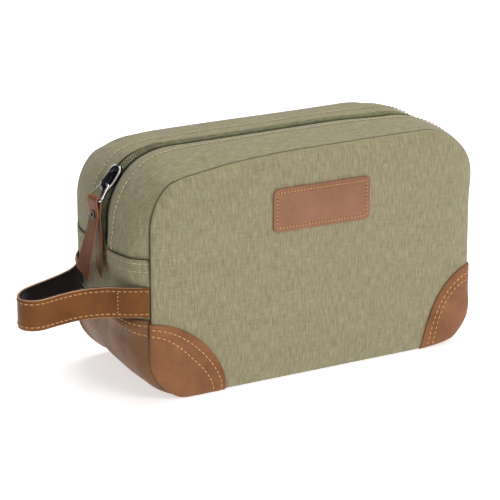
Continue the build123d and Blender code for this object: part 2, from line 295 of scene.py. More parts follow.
def panel_at(x, z, lift=0.0, side=-1):
    """A point on the front (side -1) or back (1) panel, lifted off the cloth."""
    along, (ix, iz) = inset_of(x, z)
    along = max(0.0, along)
    if along >= EDGE_RISE[-1][0]:
        inset, rise, tilt_in, tilt_up = along, EDGE_RISE[-1][1], 0.0, 1.0
    else:
        inset, rise = table(along, EDGE_INSET), table(along, EDGE_RISE)
        ahead = along + 0.1
        run_in = table(ahead, EDGE_INSET) - inset
        run_up = table(ahead, EDGE_RISE) - rise
        length = math.hypot(run_in, run_up)
        tilt_in, tilt_up = -run_up / length, run_in / length
    shift = inset - along + lift * tilt_in
    flat = between(along, 4, 22)
    rise += flat * PANEL_CROWN * (1 - (x / CROWN_HALF_LENGTH) ** 2) * (1 - ((z - MIDDLE_Z) / MIDDLE_Z) ** 2)
    rise += flat * sum(height * ripple(x, read * side, z, size) for height, read, size in PANEL_BUMPS)
    depth = SEAM_HALF_DEPTH + rise + lift * tilt_up
    return settle(Vector((x + ix * shift, side * depth, max(0.05, z + iz * shift))))


# ---- making pieces ----
def new_piece(name, points, faces, material, body, cloth=None, outward=True):
    """A smooth mesh object in metres, riding on a body."""
    mesh = bpy.data.meshes.new(name)
    mesh.from_pydata([Vector(p) * MM for p in points], [], faces)
    # The cloth attribute holds the place along the threads and, third, the share of painted seam shade.
    if cloth:
        layer = mesh.attributes.new("cloth", "FLOAT_VECTOR", "POINT")
        for item, (u, v, painted_shade) in zip(layer.data, cloth):
            item.vector = (u * MM, v * MM, painted_shade)
    mesh.update()
    if outward:
        middle = BAG_MIDDLE * MM
        facing = sum(f.normal.dot(f.center - middle) * f.area for f in mesh.polygons)
        if facing < 0:
            mesh.flip_normals()
    mesh.polygons.foreach_set("use_smooth", [True] * len(mesh.polygons))
    mesh.materials.append(material)
    piece = bpy.data.objects.new(name, mesh)
    bpy.context.collection.objects.link(piece)
    if body:
        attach(piece, body)
    return piece


def grid_faces(rows, columns, close_columns=False):
    """Quads of a grid of points stored row by row."""
    faces = []
    for i in range(rows - 1):
        for j in range(columns if close_columns else columns - 1):
            here, following = i * columns, (i + 1) * columns
            ahead = (j + 1) % columns
            faces.append((here + j, here + ahead, following + ahead, following + j))
    return faces


def rod_faces(rows, columns):
    """Faces of a rod made of closed rings of points, with a cap on each end."""
    first_cap = tuple(reversed(range(columns)))
    last_cap = tuple(range((rows - 1) * columns, rows * columns))
    return grid_faces(rows, columns, close_columns=True) + [first_cap, last_cap]


def ring_round(centre, first, second, radius, sides):
    """Points of a circle round a centre, in the plane of two directions."""
    turns = [2 * math.pi * j / sides for j in range(sides)]
    return [centre + radius * (first * math.cos(turn) + second * math.sin(turn)) for turn in turns]


def direction(line, i):
    """The way along a line of points, at one of them."""
    return (line[min(i + 1, len(line) - 1)] - line[max(i - 1, 0)]).normalized()


def lengths_along(points):
    """Distance from the first point to each point along a line."""
    lengths = [0.0]
    for a, b in zip(points, points[1:]):
        lengths.append(lengths[-1] + (b - a).length)
    return lengths


def thicken(piece, thickness):
    """Give a sheet its thickness, inwards from its outside."""
    solid = piece.modifiers.new("Thickness", "SOLIDIFY")
    solid.thickness = thickness * MM
    solid.offset = -1


def in_slot(corner, far_corner, slot):
    """Whether a face between two opposite (run, depth) corners lies in the zip's slot."""
    over_the_top = corner[0] > RUN_CROSS and far_corner[0] < opposite(RUN_CROSS)
    return over_the_top and max(abs(corner[1]), abs(far_corner[1])) < slot


def gusset_sheet(name, runs, depths, material, thickness=1.0, slot=0.0):
    """A sheet over the gusset: runs and depths are (place, outset) pairs, with a slot for the zip."""
    points, cloth = [], []
    for run, run_out in runs:
        for depth, depth_out in depths:
            points.append(gusset_at(run, depth, run_out + depth_out))
            # Painted shade where the sheet tucks under a fold or into a seam.
            painted_shade = max(between(-run_out - depth_out, 0.0, 0.6), between(abs(depth), 49.5, 50.3))
            cloth.append((depth, run, painted_shade))
    places = [(run, depth) for run, _ in runs for depth, _ in depths]
    faces = [
        face for face in grid_faces(len(runs), len(depths))
        if not in_slot(places[face[0]], places[face[2]], slot)
    ]
    piece = new_piece(name, points, faces, material, "bag", cloth)
    thicken(piece, thickness)
    return piece


def ring_sheet(name, rings, material, body, place, thickness):
    """A sheet made of closed rings of flat points, the last one filled, put in place."""
    count = len(rings[0])
    flat = [point for ring in rings for point in ring]
    faces = grid_faces(len(rings), count, close_columns=True)
    centre = Vector((0.0, 0.0))
    for x, z, _ in rings[-1]:
        centre += Vector((x, z)) / count
    flat.append((centre.x, centre.y, rings[-1][0][2]))
    start = (len(rings) - 1) * count
    faces += [(start + j, start + (j + 1) % count, len(flat) - 1) for j in range(count)]
    points = [place(x, z, lift) for x, z, lift in flat]
    # Painted shade within 1.3 mm of the seam.
    cloth = [(x, z, between(1.3 - inset_of(x, z)[0], 0.0, 1.3)) for x, z, _ in flat]
    piece = new_piece(name, points, faces, material, body, cloth)
    thicken(piece, thickness)
    return piece


# ---- threads ----
STITCH_SIDES = 6
STITCH_SHAPE = [(0.0, -0.9), (0.14, 0.35), (0.5, 0.62), (0.86, 0.35), (1.0, -0.9)]    # share along, lift
STITCH_END_THICKNESS = 0.55
STITCH_WOBBLE = 0.25


def walk(lengths, distances):
    """Where distances fall on a line: the point before each, and the share of the step past it."""
    found, k = [], 0
    for distance in distances:
        while k < len(lengths) - 2 and lengths[k + 1] < distance:
            k += 1
        step = lengths[k + 1] - lengths[k]
        found.append((k, min(1.0, max(0.0, (distance - lengths[k]) / step)) if step else 0.0))
    return found


def stitches(name, line, material, body, length=2.7, gap=1.0, radius=0.36):
    """A row of thread stitches along a line of (point, normal) pairs."""
    points = [point for point, _ in line]
    normals = [normal for _, normal in line]
    lengths = lengths_along(points)
    count = max(1, round(lengths[-1] / (length + gap)))
    pitch = lengths[-1] / count
    rows = len(STITCH_SHAPE)
    verts, faces = [], []
    for i in range(count):
        start = i * pitch + gap / 2
        wobble = STITCH_WOBBLE * ripple(i * 1.7, start, 3.1, 2.3)
        reach = pitch - gap + wobble
        places = walk(lengths, [start + reach * t for t, _ in STITCH_SHAPE])
        first = len(verts)
        for n, ((k, t), (_, lift)) in enumerate(zip(places, STITCH_SHAPE)):
            along = (points[k + 1] - points[k]).normalized()
            normal = normals[k].lerp(normals[k + 1], t).normalized()
            across = along.cross(normal).normalized()
            centre = points[k].lerp(points[k + 1], t) + normal * lift * radius
            thin = radius * (STITCH_END_THICKNESS if n in (0, rows - 1) else 1.0)
            for j in range(STITCH_SIDES):
                turn = 2 * math.pi * j / STITCH_SIDES
                verts.append(centre + across * thin * math.cos(turn) + normal * thin * math.sin(turn))
        faces += [tuple(first + index for index in face) for face in rod_faces(rows, STITCH_SIDES)]
    row = new_piece(name, verts, faces, material, body, outward=False)
    return row


# ---- materials ----
class Surface:
    """A Principled material with short calls for its nodes."""

    def __init__(self, name, **sockets):
        self.material = bpy.data.materials.new(name)
        self.material.use_nodes = True
        self.tree = self.material.node_tree
        self.shader = next(n for n in self.tree.nodes if n.type == "BSDF_PRINCIPLED")
        for socket, value in sockets.items():
            self.shader.inputs[socket.replace("_", " ").title().replace("Ior", "IOR")].default_value = value

    def add(self, kind, links=(), **settings):
        made = self.tree.nodes.new(kind)
        for key, value in settings.items():
            setattr(made, key, value)
        for socket, value in links:
            if isinstance(value, bpy.types.NodeSocket):
                self.tree.links.new(value, made.inputs[socket])
            else:
                made.inputs[socket].default_value = value
        return made

    def place(self):
        """The place on the object, which is in the bag's own frame."""
        return self.add("ShaderNodeTexCoord").outputs["Object"]

    def cloth(self):
        """The place along the cloth's own threads, and in its third part the share of painted seam shade."""
        return self.add("ShaderNodeAttribute", attribute_name="cloth").outputs["Vector"]

    def scaled(self, vector, scale):
        made = self.add("ShaderNodeMapping", [("Vector", vector), ("Scale", scale)])
        return made.outputs["Vector"]

    def noise(self, vector, scale, detail=3.0, roughness=0.55):
        made = self.add("ShaderNodeTexNoise", [
            ("Vector", vector), ("Scale", scale), ("Detail", detail), ("Roughness", roughness)])
        return made.outputs["Fac"]

    def cells(self, vector, scale, feature="DISTANCE_TO_EDGE"):
        made = self.add("ShaderNodeTexVoronoi", [("Vector", vector), ("Scale", scale)], feature=feature)
        return made.outputs["Distance"]

    def math(self, operation, a, b=0.0):
        return self.add("ShaderNodeMath", [(0, a), (1, b)], operation=operation).outputs[0]

    def ramp(self, value, low, high, bottom=0.0, top=1.0):
        made = self.add("ShaderNodeMapRange", [
            ("Value", value), ("From Min", low), ("From Max", high), ("To Min", bottom), ("To Max", top)])
        return made.outputs[0]

    def mix(self, share, a, b, blend="MIX"):
        made = self.add("ShaderNodeMix", data_type="RGBA", blend_type=blend)
        for index, value in ((0, share), (6, a), (7, b)):
            if isinstance(value, bpy.types.NodeSocket):
                self.tree.links.new(value, made.inputs[index])
            else:
                made.inputs[index].default_value = value
        return made.outputs[2]

    def bump(self, height, distance, strength=1.0, under=None):
        links = [("Height", height), ("Distance", distance), ("Strength", strength)]
        if under:
            links.append(("Normal", under))
        return self.add("ShaderNodeBump", links).outputs["Normal"]

    def set(self, socket, value):
        self.tree.links.new(value, self.shader.inputs[socket])


THREAD_PITCH = 0.00085
# Painted shade: the dark that canvas and leather are mixed towards where they tuck into a seam.
SEAM_PAINTED_SHADE = srgb(52, 46, 34)
LEATHER_PAINTED_SHADE = srgb(40, 22, 14)


def canvas_material(name, colour, light, dark):
    """Plain-woven cotton canvas: fine flecks along the threads, soft slubs and clouds, and painted shade
    where it tucks into seams.
    """
    made = Surface(name, roughness=0.93, sheen_weight=0.18, sheen_roughness=0.5,
                   specular_ior_level=0.2)
    cloth = made.cloth()
    parts = made.add("ShaderNodeSeparateXYZ", [(0, cloth)])
    waves = []
    for axis in (0, 1):
        turn = made.math("MULTIPLY", parts.outputs[axis], math.pi / THREAD_PITCH)
        waves.append(made.math("SINE", turn))
    weave = made.math("ABSOLUTE", made.math("MULTIPLY", waves[0], waves[1]))
    warp = made.noise(made.scaled(cloth, (900.0, 130.0, 0.0)), 1.0, 2.0)
    weft = made.noise(made.scaled(cloth, (130.0, 900.0, 0.0)), 1.0, 2.0)
    fleck = made.math("ADD", made.math("MULTIPLY", warp, 0.7), made.math("MULTIPLY", weft, 0.3))
    long_warp = made.noise(made.scaled(cloth, (520.0, 42.0, 0.0)), 1.0, 3.0)
    long_weft = made.noise(made.scaled(cloth, (34.0, 520.0, 0.0)), 1.0, 3.0)
    slub = made.math("ADD", made.math("MULTIPLY", long_warp, 0.6), made.math("MULTIPLY", long_weft, 0.4))
    tone = made.mix(made.ramp(fleck, 0.3, 0.7), dark, light)
    tone = made.mix(0.3, tone, colour)
    tone = made.mix(made.ramp(slub, 0.36, 0.5, 0.2, 0.0), tone, dark)
    mottle = made.noise(made.place(), 60.0, 4.0, 0.6)
    tone = made.mix(made.ramp(mottle, 0.35, 0.7, 0.0, 0.1), tone, light)
    tone = made.mix(made.ramp(weave, 0.0, 0.4, 0.3, 0.0), tone, dark)
    # Painted shade at the seams, by the share in the cloth attribute's third part.
    tone = made.mix(made.ramp(parts.outputs[2], 0.0, 1.0, 0.0, 0.8), tone, SEAM_PAINTED_SHADE)
    made.set("Base Color", tone)
    fine = made.bump(made.math("ADD", weave, made.math("MULTIPLY", fleck, 1.4)), 0.00024, 0.9)
    made.set("Normal", made.bump(slub, 0.0005, 0.25, fine))
    return made.material


def leather_material(name, colour, light, dark, gloss=0.5, grain=1.0):
    """Oiled leather: fine grain, cloudy tone and small scuffs, and painted shade where it tucks into seams.
    """
    made = Surface(name, specular_ior_level=0.24, sheen_weight=0.03, coat_weight=0.05,
                   coat_roughness=0.35)
    place = made.place()
    cloud = made.noise(place, 38.0, 5.0, 0.6)
    small = made.noise(place, 260.0, 4.0, 0.6)
    tone = made.mix(made.ramp(cloud, 0.32, 0.68), dark, light)
    tone = made.mix(0.25, tone, colour)
    tone = made.mix(made.ramp(small, 0.35, 0.75, 0.0, 0.28), tone, light)
    pores = made.cells(place, 1500.0)
    tone = made.mix(made.ramp(pores, 0.0, 0.12, 0.25, 0.0), tone, dark)
    # Painted shade at the seams, by the share in the cloth attribute's third part.
    painted_shade = made.add("ShaderNodeSeparateXYZ", [(0, made.cloth())]).outputs[2]
    tone = made.mix(made.ramp(painted_shade, 0.0, 1.0, 0.0, 0.85), tone, LEATHER_PAINTED_SHADE)
    made.set("Base Color", tone)
    made.set("Roughness", made.ramp(small, 0.3, 0.75, gloss - 0.06, gloss + 0.12))
    grain_height = made.math("MULTIPLY", made.ramp(pores, 0.0, 0.25), grain)
    fine = made.bump(grain_height, 0.00012, 0.7)
    made.set("Normal", made.bump(cloud, 0.0012, 0.35, fine))
    return made.material


def suede_material(name, dark, light):
    made = Surface(name, roughness=0.95, sheen_weight=0.12, sheen_roughness=0.4,
                   specular_ior_level=0.1)
    nap = made.noise(made.place(), 900.0, 4.0, 0.7)
    cloud = made.noise(made.place(), 60.0, 3.0)
    tone = made.mix(made.ramp(nap, 0.3, 0.7), dark, light)
    made.set("Base Color", made.mix(made.ramp(cloud, 0.35, 0.7, 0.0, 0.5), tone, dark))
    made.set("Normal", made.bump(nap, 0.0003, 0.6))
    return made.material


def thread_material(name, colour, dark):
    """Twisted thread."""
    made = Surface(name, roughness=0.7, sheen_weight=0.2)
    twist = made.noise(made.place(), 1400.0, 2.0)
    tone = made.mix(made.ramp(twist, 0.35, 0.65), dark, colour)
    made.set("Base Color", tone)
    made.set("Normal", made.bump(twist, 0.0001, 0.6))
    return made.material


def tape_material(name, colour, dark):
    """Ribbed zip tape."""
    made = Surface(name, roughness=0.85, sheen_weight=0.15)
    cloth = made.cloth()
    parts = made.add("ShaderNodeSeparateXYZ", [(0, cloth)])
    ribs = made.math("SINE", made.math("MULTIPLY", parts.outputs[0], 2 * math.pi / 0.0008))
    steps = made.math("SINE", made.math("MULTIPLY", parts.outputs[1], 2 * math.pi / 0.0007))
    height = made.math("MULTIPLY", ribs, steps)
    tone = made.mix(made.ramp(height, -1.0, 1.0), dark, colour)
    made.set("Base Color", made.mix(made.ramp(made.noise(cloth, 90.0), 0.3, 0.7, 0.0, 0.4), tone, dark))
    made.set("Normal", made.bump(height, 0.00015, 0.8))
    return made.material


def coil_material(name, colour, light):
    """Moulded nylon coil."""
    made = Surface(name, roughness=0.42, specular_ior_level=0.5)
    cloud = made.noise(made.place(), 300.0, 2.0)
    made.set("Base Color", made.mix(made.ramp(cloud, 0.3, 0.7), colour, light))
    return made.material


def metal_material(name, colour, light, smooth, metallic=0.95):
    """Plated metal, worn lighter in places."""
    made = Surface(name, metallic=metallic)
    cloud = made.noise(made.place(), 420.0, 4.0, 0.6)
    made.set("Base Color", made.mix(made.ramp(cloud, 0.4, 0.75), colour, light))
    made.set("Roughness", made.ramp(cloud, 0.3, 0.7, smooth, smooth + 0.14))
    made.set("Normal", made.bump(cloud, 0.00005, 0.5))
    return made.material


def foam_material(name, colour, dark):
    made = Surface(name, roughness=0.95)
    cells = made.cells(made.place(), 700.0)
    made.set("Base Color", made.mix(made.ramp(cells, 0.0, 0.2), dark, colour))
    made.set("Normal", made.bump(cells, 0.0003, 0.6))
    return made.material


CANVAS_CLOTH = canvas_material(
    "canvas", srgb(157, 148, 117), srgb(184, 175, 141), srgb(116, 109, 80))
LEATHER = leather_material(
    "saddle_leather", srgb(137, 87, 53), srgb(160, 106, 67), srgb(108, 64, 35))
# A darker copy of the saddle leather, painted shade for the bag's shaded ends.
WRAP_LEATHER_PAINTED_SHADE = leather_material(
    "wrap_leather_painted_shade", srgb(121, 81, 49), srgb(140, 99, 64), srgb(92, 58, 34))
LABEL_LEATHER = leather_material(
    "label_leather", srgb(148, 103, 76), srgb(160, 114, 88), srgb(131, 88, 62))
STRAP_LEATHER = leather_material(
    "strap_leather", srgb(118, 66, 15), srgb(140, 85, 26), srgb(92, 48, 12))
PULL_LEATHER = leather_material(
    "pull_leather", srgb(122, 74, 42), srgb(144, 92, 56), srgb(90, 52, 28))
RAW_EDGE = leather_material(
    "raw_edge", srgb(190, 150, 118), srgb(204, 166, 134), srgb(150, 108, 78), 0.75)
SUEDE = suede_material("dark_suede", srgb(12, 6, 5), srgb(30, 19, 16))
THREAD_TAN = thread_material("thread_tan", srgb(230, 180, 116), srgb(190, 138, 80))
THREAD_SAND = thread_material("thread_sand", srgb(222, 180, 128), srgb(180, 136, 88))
THREAD_PALE = thread_material("thread_pale", srgb(214, 206, 172), srgb(176, 166, 130))
TAPE_CLOTH = tape_material("zip_tape", srgb(58, 57, 40), srgb(36, 35, 24))
COIL = coil_material("zip_coil", srgb(134, 132, 96), srgb(176, 174, 134))
GUNMETAL = metal_material("gunmetal", (0.022, 0.019, 0.022, 1), (0.06, 0.055, 0.06, 1), 0.18)
POLISHED = metal_material("polished_gunmetal", (0.62, 0.6, 0.6, 1), (0.9, 0.88, 0.86, 1), 0.2)
# Near-white and half diffuse, so the rims stay bright from any side: polished metal with a painted highlight.
RIM_METAL_PAINTED_HIGHLIGHT = metal_material("rim_metal_painted_highlight", (0.7, 0.68, 0.68, 1), (0.95, 0.93, 0.92, 1), 0.24, 0.55)
PULL_EDGE = leather_material(
    "pull_cut_edge", srgb(168, 112, 78), srgb(188, 130, 92), srgb(132, 86, 58), 0.75)
DARK_RING = metal_material("eyelet_metal", (0.03, 0.029, 0.03, 1), (0.1, 0.1, 0.1, 1), 0.16)
FOAM = foam_material("foam", srgb(205, 205, 200), srgb(150, 150, 145))
BOARD = foam_material("stiffener", srgb(60, 60, 58), srgb(38, 38, 36))
LINING = canvas_material("lining_cloth", srgb(110, 96, 76), srgb(126, 112, 92), srgb(84, 72, 56))


# ---- canvas panels ----
PANEL_INSETS = [0, 0.3, 0.6, 1.0, 1.5, 2.1, 2.7, 3.4, 4.6, 6, 8, 11, 14, 18, 22, 26]
PANEL_CLOTH = 0.8


def shrunk(ring, shares, lift):
    """Smaller copies of a panel's ring, drawn in towards the panel's middle."""
    return [[(x * share, MIDDLE_Z + (z - MIDDLE_Z) * share, lift) for x, z, _ in ring] for share in shares]


def panel(name, side):
    """A crowned panel whose edge rolls into the seam all round."""
    runs = []
    for start, end, step in (
        (0, RUN_LOW, 4), (RUN_LOW, RUN_SIDE, 2), (RUN_SIDE, RUN_CORNER, 4),
        (RUN_CORNER, RUN_TOP, 2), (RUN_TOP, RUN_MIDDLE, 4),
    ):
        runs += spread(start, end, step)[:-1]
    left = runs + [RUN_MIDDLE]
    runs = left + [opposite(run) for run in reversed(left[1:-1])]
    rings = [[(*outline_at(run, inset=inset)[0], 0.0) for run in runs] for inset in PANEL_INSETS]
    rings += shrunk(rings[-1], spread(0.94, 0.06, 0.055), 0.0)
    return ring_sheet(name, rings, CANVAS_CLOTH, "bag", lambda x, z, lift: panel_at(x, z, lift, side),
                      PANEL_CLOTH)


front_canvas = panel("front_canvas", -1)
back_canvas = panel("back_canvas", 1)
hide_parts("front_panel")
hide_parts("back_panel")

# ---- gusset cloth and leather ----
SEAM_TUCK = [(50.5, -1.2), (50.2, -0.55), (49.7, -0.1), (49.0, 0.0)]
SOFT_DEPTHS = [48, 47, 46, 44.5, 43, 41, 39, 36.5, 34, 31, 28, 25, 22, 19.5]
ZIP_FOLD = [(17, 0), (15, 0.0), (13.4, 0.0), (12.3, -0.05), (11.2, 0.1), (10.0, 0.3), (9.0, 0.42),
            (8.0, 0.5), (7.3, 0.42), (6.95, 0.15), (6.85, -0.3), (7.0, -0.8), (7.5, -1.1)]
half_depths = SEAM_TUCK + [(depth, 0.0) for depth in SOFT_DEPTHS]

TUCK_UNDER = [(-7, -1.0), (-4, -1.0), (-1.5, -0.9), (0.5, -0.6), (2.5, -0.2), (5, 0.0)]


def both_ends(first_half):
    """Carry (run, outset) pairs of the left half over to the right half."""
    return first_half + [(opposite(run), out) for run, out in reversed(first_half[:-1])]


over_top = [(RUN_CROSS + along, out) for along, out in TUCK_UNDER]
over_top += [(run, 0.0) for run in spread(RUN_CROSS + 8, RUN_CORNER, 3)[:-1]]
over_top += [(run, 0.0) for run in spread(RUN_CORNER, RUN_TOP, 2.2)[:-1]]
over_top += [(run, 0.0) for run in spread(RUN_TOP, RUN_MIDDLE, 3.2)]
over_top = both_ends(over_top)
for name, side in SIDES:
    depths = [(side * depth, out) for depth, out in half_depths + ZIP_FOLD]
    strip = gusset_sheet(f"{name}_top_canvas", over_top, depths, CANVAS_CLOTH)
    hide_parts(f"{name}_zip_gusset")

whole_depths = [(-depth, out) for depth, out in half_depths]
whole_depths += [(float(depth), 0.0) for depth in (-17, -14, -11, -8, -5, -2.5, 0, 2.5, 5, 8, 11, 14, 17)]
whole_depths += [(depth, out) for depth, out in reversed(half_depths)]

# The end panel's top edge is folded over and sewn down on the gusset with two rows.
FOLD_EDGE = [(-0.4, -0.7), (-0.05, -0.35), (0.1, 0.05), (0.0, 0.45), (-0.5, 0.72), (-1.4, 0.66),
             (-2.5, 0.3), (-3.7, 0.6), (-5.3, 0.7), (-6.8, 0.58), (-8.0, 0.2), (-9.3, 0.3), (-12, 0.1),
             (-15, 0.0)]
LEATHER_EDGE = [(-0.3, -0.5), (0.0, 0.1), (0.0, 0.75), (-0.4, 1.05), (-1.4, 1.1), (-2.8, 1.05),
                (-3.8, 0.8), (-4.8, 1.1), (-7.2, 1.1), (-9.2, 1.05), (-10.2, 0.75), (-11.2, 0.95), (-14, 0.7),
                (-20, 0.4)]
WRAP_THICK = 1.3
LEATHER_LOW_EDGE = [(0.0, -0.45), (0.25, 0.0), (1.0, 0.3), (3.0, 0.25), (6.0, 0.2)]


def mirrored(pairs, side):
    """Pairs of the left end, or carried over to the right end."""
    return pairs if side == "left" else [(opposite(run), out) for run, out in pairs]


for side, _ in ENDS:
    runs = [(RUN_CROSS + along, out) for along, out in FOLD_EDGE]
    runs += [(run, 0.0) for run in spread(RUN_CROSS - 17, RUN_LEATHER + 4, 3)]
    runs += [(RUN_LEATHER + 1, -0.3), (RUN_LEATHER - 2, -0.7), (RUN_LEATHER - 6, -0.8)]
    cloth_end = gusset_sheet(f"{side}_end_canvas", mirrored(runs, side), whole_depths, CANVAS_CLOTH)
    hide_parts(f"{side}_end_panel")

    runs = [(RUN_LEATHER + along, out) for along, out in LEATHER_EDGE]
    runs += [(run, 0.3) for run in spread(RUN_LEATHER - 23, RUN_LOW, 2.4)]
    runs += [(run, 0.3) for run in spread(RUN_LOW - 4, LEATHER_X + 9, 4)]
    runs += [(LEATHER_X + along, out) for along, out in reversed(LEATHER_LOW_EDGE)]
    leather_end = gusset_sheet(f"{side}_leather_wrap", mirrored(runs, side), whole_depths, WRAP_LEATHER_PAINTED_SHADE,
                               WRAP_THICK)
    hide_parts(f"{side}_leather_end")

base_runs = [(LEATHER_X + 4, -1.2), (LEATHER_X, -0.9), (LEATHER_X - 3, -0.6)]
base_runs += [(run, -0.4) for run in spread(LEATHER_X - 6, 0, 6)]
base_runs += [(-run, out) for run, out in reversed(base_runs[:-1])]


def base_at(run, depth, out):
    """A point of the canvas base, a little off the ground."""
    point = gusset_at(abs(run), depth, 0.0)
    return Vector((-run, point.y, max(0.1, -out + max(0.0, abs(depth) - 49.4) * 0.8)))


points = [base_at(run, depth, out) for run, out in base_runs for depth, _ in whole_depths]
cloth = [(depth, run, 0.0) for run, _ in base_runs for depth, _ in whole_depths]
base_canvas = new_piece("base_canvas", points, grid_faces(len(base_runs), len(whole_depths)),
                        CANVAS_CLOTH, "bag", cloth)
thicken(base_canvas, PANEL_CLOTH)
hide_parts("base_panel")

# ---- foam and lining, which follow the canvas as it settles ----
LAYER_SLOT = 12.5
all_runs = spread(0, RUN_LOW, 8)[:-1] + spread(RUN_LOW, RUN_SIDE, 4)[:-1]
all_runs += spread(RUN_SIDE, RUN_CORNER, 6)[:-1] + spread(RUN_CORNER, RUN_TOP, 4)[:-1]
all_runs += spread(RUN_TOP, RUN_MIDDLE, 8)
all_runs = both_ends([(run, 0.0) for run in all_runs])
layer_half = [47.5, 44, 40, 36, 31, 25, 19, 15, 12.4, 6]
all_depths = [-depth for depth in layer_half] + [0] + layer_half[::-1]
PANEL_LAYER_INSETS = [3.5, 5, 7, 10, 14, 20, 26]
PANEL_LAYER_SHARES = (0.85, 0.65, 0.45, 0.2)
LAYERS = (("foam", -1.7, 2.2, FOAM), ("lining", -4.3, 0.5, LINING))    # name, outset, thickness


def panel_layer(name, side, lift, thickness, material):
    """A layer behind the front or back canvas."""
    runs = [run for run, _ in all_runs[:-1]]
    rings = [[(*outline_at(run, inset=inset)[0], lift) for run in runs] for inset in PANEL_LAYER_INSETS]
    rings += shrunk(rings[-1], PANEL_LAYER_SHARES, lift)
    return ring_sheet(name, rings, material, "bag", lambda x, z, out: panel_at(x, z, out, side), thickness)


for layer, out, thickness, material in LAYERS:
    depths = [(depth, out) for depth in all_depths]
    band = gusset_sheet(f"gusset_{layer}_layer", all_runs, depths, material, thickness, LAYER_SLOT)
    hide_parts(f"gusset_{layer}")
    for name, side in SIDES:
        piece = panel_layer(f"{name}_{layer}_layer", side, out + 0.3, thickness, material)
        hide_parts(f"{name}_{layer}")

# ---- corner patches ----
PATCH_THICK = 1.3
PATCH_SEAM_LIFT = 0.25
PATCH_EDGE = [(0.0, 0.15), (0.05, 0.75), (0.35, 1.15), (1.0, PATCH_THICK)]
ROW_GROOVE = 1.05
ROW_TURNS = (0.0, math.pi / 4, math.pi / 2)
PATCH_ROWS = {-1: ((3.5, 5.2, 3.5), (9.5, 12.4, 7.8)), 1: ((4.7, 5.0, 7.2), (9.2, 8.8, 12.5))}


def corner_reach(turn):
    """Distance from the seam's square corner to its rounded corner, in a direction."""
    direction = Vector((math.cos(turn), math.sin(turn)))
    centre = Vector((LOW_RADIUS, LOW_RADIUS))
    along = direction.dot(centre)
    return along - math.sqrt(max(0.0, along ** 2 - centre.length_squared + LOW_RADIUS ** 2))


PATCH_REACH = {-1: (54.2, 54.2, 1.72), 1: (40.5, 56.5, 1.8)}


def patch_reach(turn, side_x):
    """Distance from the square corner to a patch's curved edge, in a direction."""
    along_base, height, roundness = PATCH_REACH[side_x]
    cosine, sine = max(0.0, math.cos(turn)), max(0.0, math.sin(turn))
    return ((cosine / along_base) ** roundness + (sine / height) ** roundness) ** (-1 / roundness)


def patch_rows(turn, side_x):
    """How far in from a patch's edge its two rows of stitches run, in a direction."""
    far = patch_reach(turn, side_x) - corner_reach(turn)
    outer, inner = (table(turn, list(zip(ROW_TURNS, row))) for row in PATCH_ROWS[side_x])
    inner = min(inner, far - 3.6)
    return min(outer, inner - 2.6), inner


def patch_profile(turn, side_x):
    """Distances in from a patch's edge and heights there, with a groove under each row."""
    profile = list(PATCH_EDGE)
    for back in patch_rows(turn, side_x):
        profile += [(back - 0.8, PATCH_THICK), (back, ROW_GROOVE), (back + 0.8, PATCH_THICK)]
    return profile + [(profile[-1][0] + 1.2, PATCH_THICK)]


def patch_point(turn, back_from_edge, lift, side_x, side_y):
    """A place on a patch: an angle round the square corner and a distance in from its edge."""
    reach = patch_reach(turn, side_x) - back_from_edge
    x = SEAM_HALF_LENGTH - reach * math.cos(turn)
    return panel_at(side_x * x, reach * math.sin(turn), lift, side_y)


# From the inner row to the seam, the patch thins out over this many steps, closer together at the seam.
PATCH_TAIL = 18
PATCH_TAIL_POWER = 1.9
PATCH_SHEET = 1.1
PATCH_TURNS = [0, 0.004, 0.009, 0.015, 0.023, 0.033, 0.045, 0.06, 0.085, 0.115, 0.15]
patch_turns = PATCH_TURNS + spread(0.19, math.pi / 2 - 0.19, 0.04)
patch_turns += [math.pi / 2 - t for t in reversed(PATCH_TURNS)]
for name_y, side_y in SIDES:
    for name_x, side_x in ENDS:
        points, cloth = [], []
        for turn in patch_turns:
            far = patch_reach(turn, side_x) - corner_reach(turn)
            profile = patch_profile(turn, side_x)
            start = profile[-1][0]
            row = [patch_point(turn, back, lift, side_x, side_y) for back, lift in profile]
            painted_shade_row = [0.0] * len(row)
            for i in range(1, PATCH_TAIL + 1):
                back = start + (far - start) * (1 - (1 - i / PATCH_TAIL) ** PATCH_TAIL_POWER)
                to_seam = far - back
                lift = PATCH_SEAM_LIFT + (PATCH_THICK - PATCH_SEAM_LIFT) * between(to_seam, 0.3, 3.2)
                row.append(patch_point(turn, back, lift, side_x, side_y))
                # Painted shade close to the seam, where the patch thins out into it.
                painted_shade_row.append(between(1.9 - to_seam, 0.0, 1.4))
            points += row
            cloth += [(point.x, point.z, painted_shade) for point, painted_shade in zip(row, painted_shade_row)]
        columns = len(profile) + PATCH_TAIL
        patch = new_piece(f"{name_y}_{name_x}_patch", points, grid_faces(len(patch_turns), columns),
                          LEATHER, "bag", cloth)
        thicken(patch, PATCH_SHEET)
        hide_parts(f"{name_y}_{name_x}_corner_patch")
        for which, row_name in enumerate(("outer", "inner")):
            line = []
            for turn in spread(0.03, math.pi / 2 - 0.03, 0.02):
                here = patch_point(turn, patch_rows(turn, side_x)[which], 1.2, side_x, side_y)
                line.append((here, Vector((0, side_y, 0))))
            stitches(f"{name_y}_{name_x}_patch_{row_name}_stitches", line, THREAD_TAN, "bag",
                     length=2.5, gap=1.3, radius=0.42)

# ---- label ----
LABEL_HALF = (37.4, 14.9)
LABEL_CENTRE = (1.0, 117.5)
LABEL_TILT = math.radians(-0.8)
LABEL_CORNER = 4.0
LABEL_QUARTERS = ((1, 1, 0), (-1, 1, 90), (-1, -1, 180), (1, -1, 270))    # x, z, first angle
LABEL_STITCH_INSET = 2.9


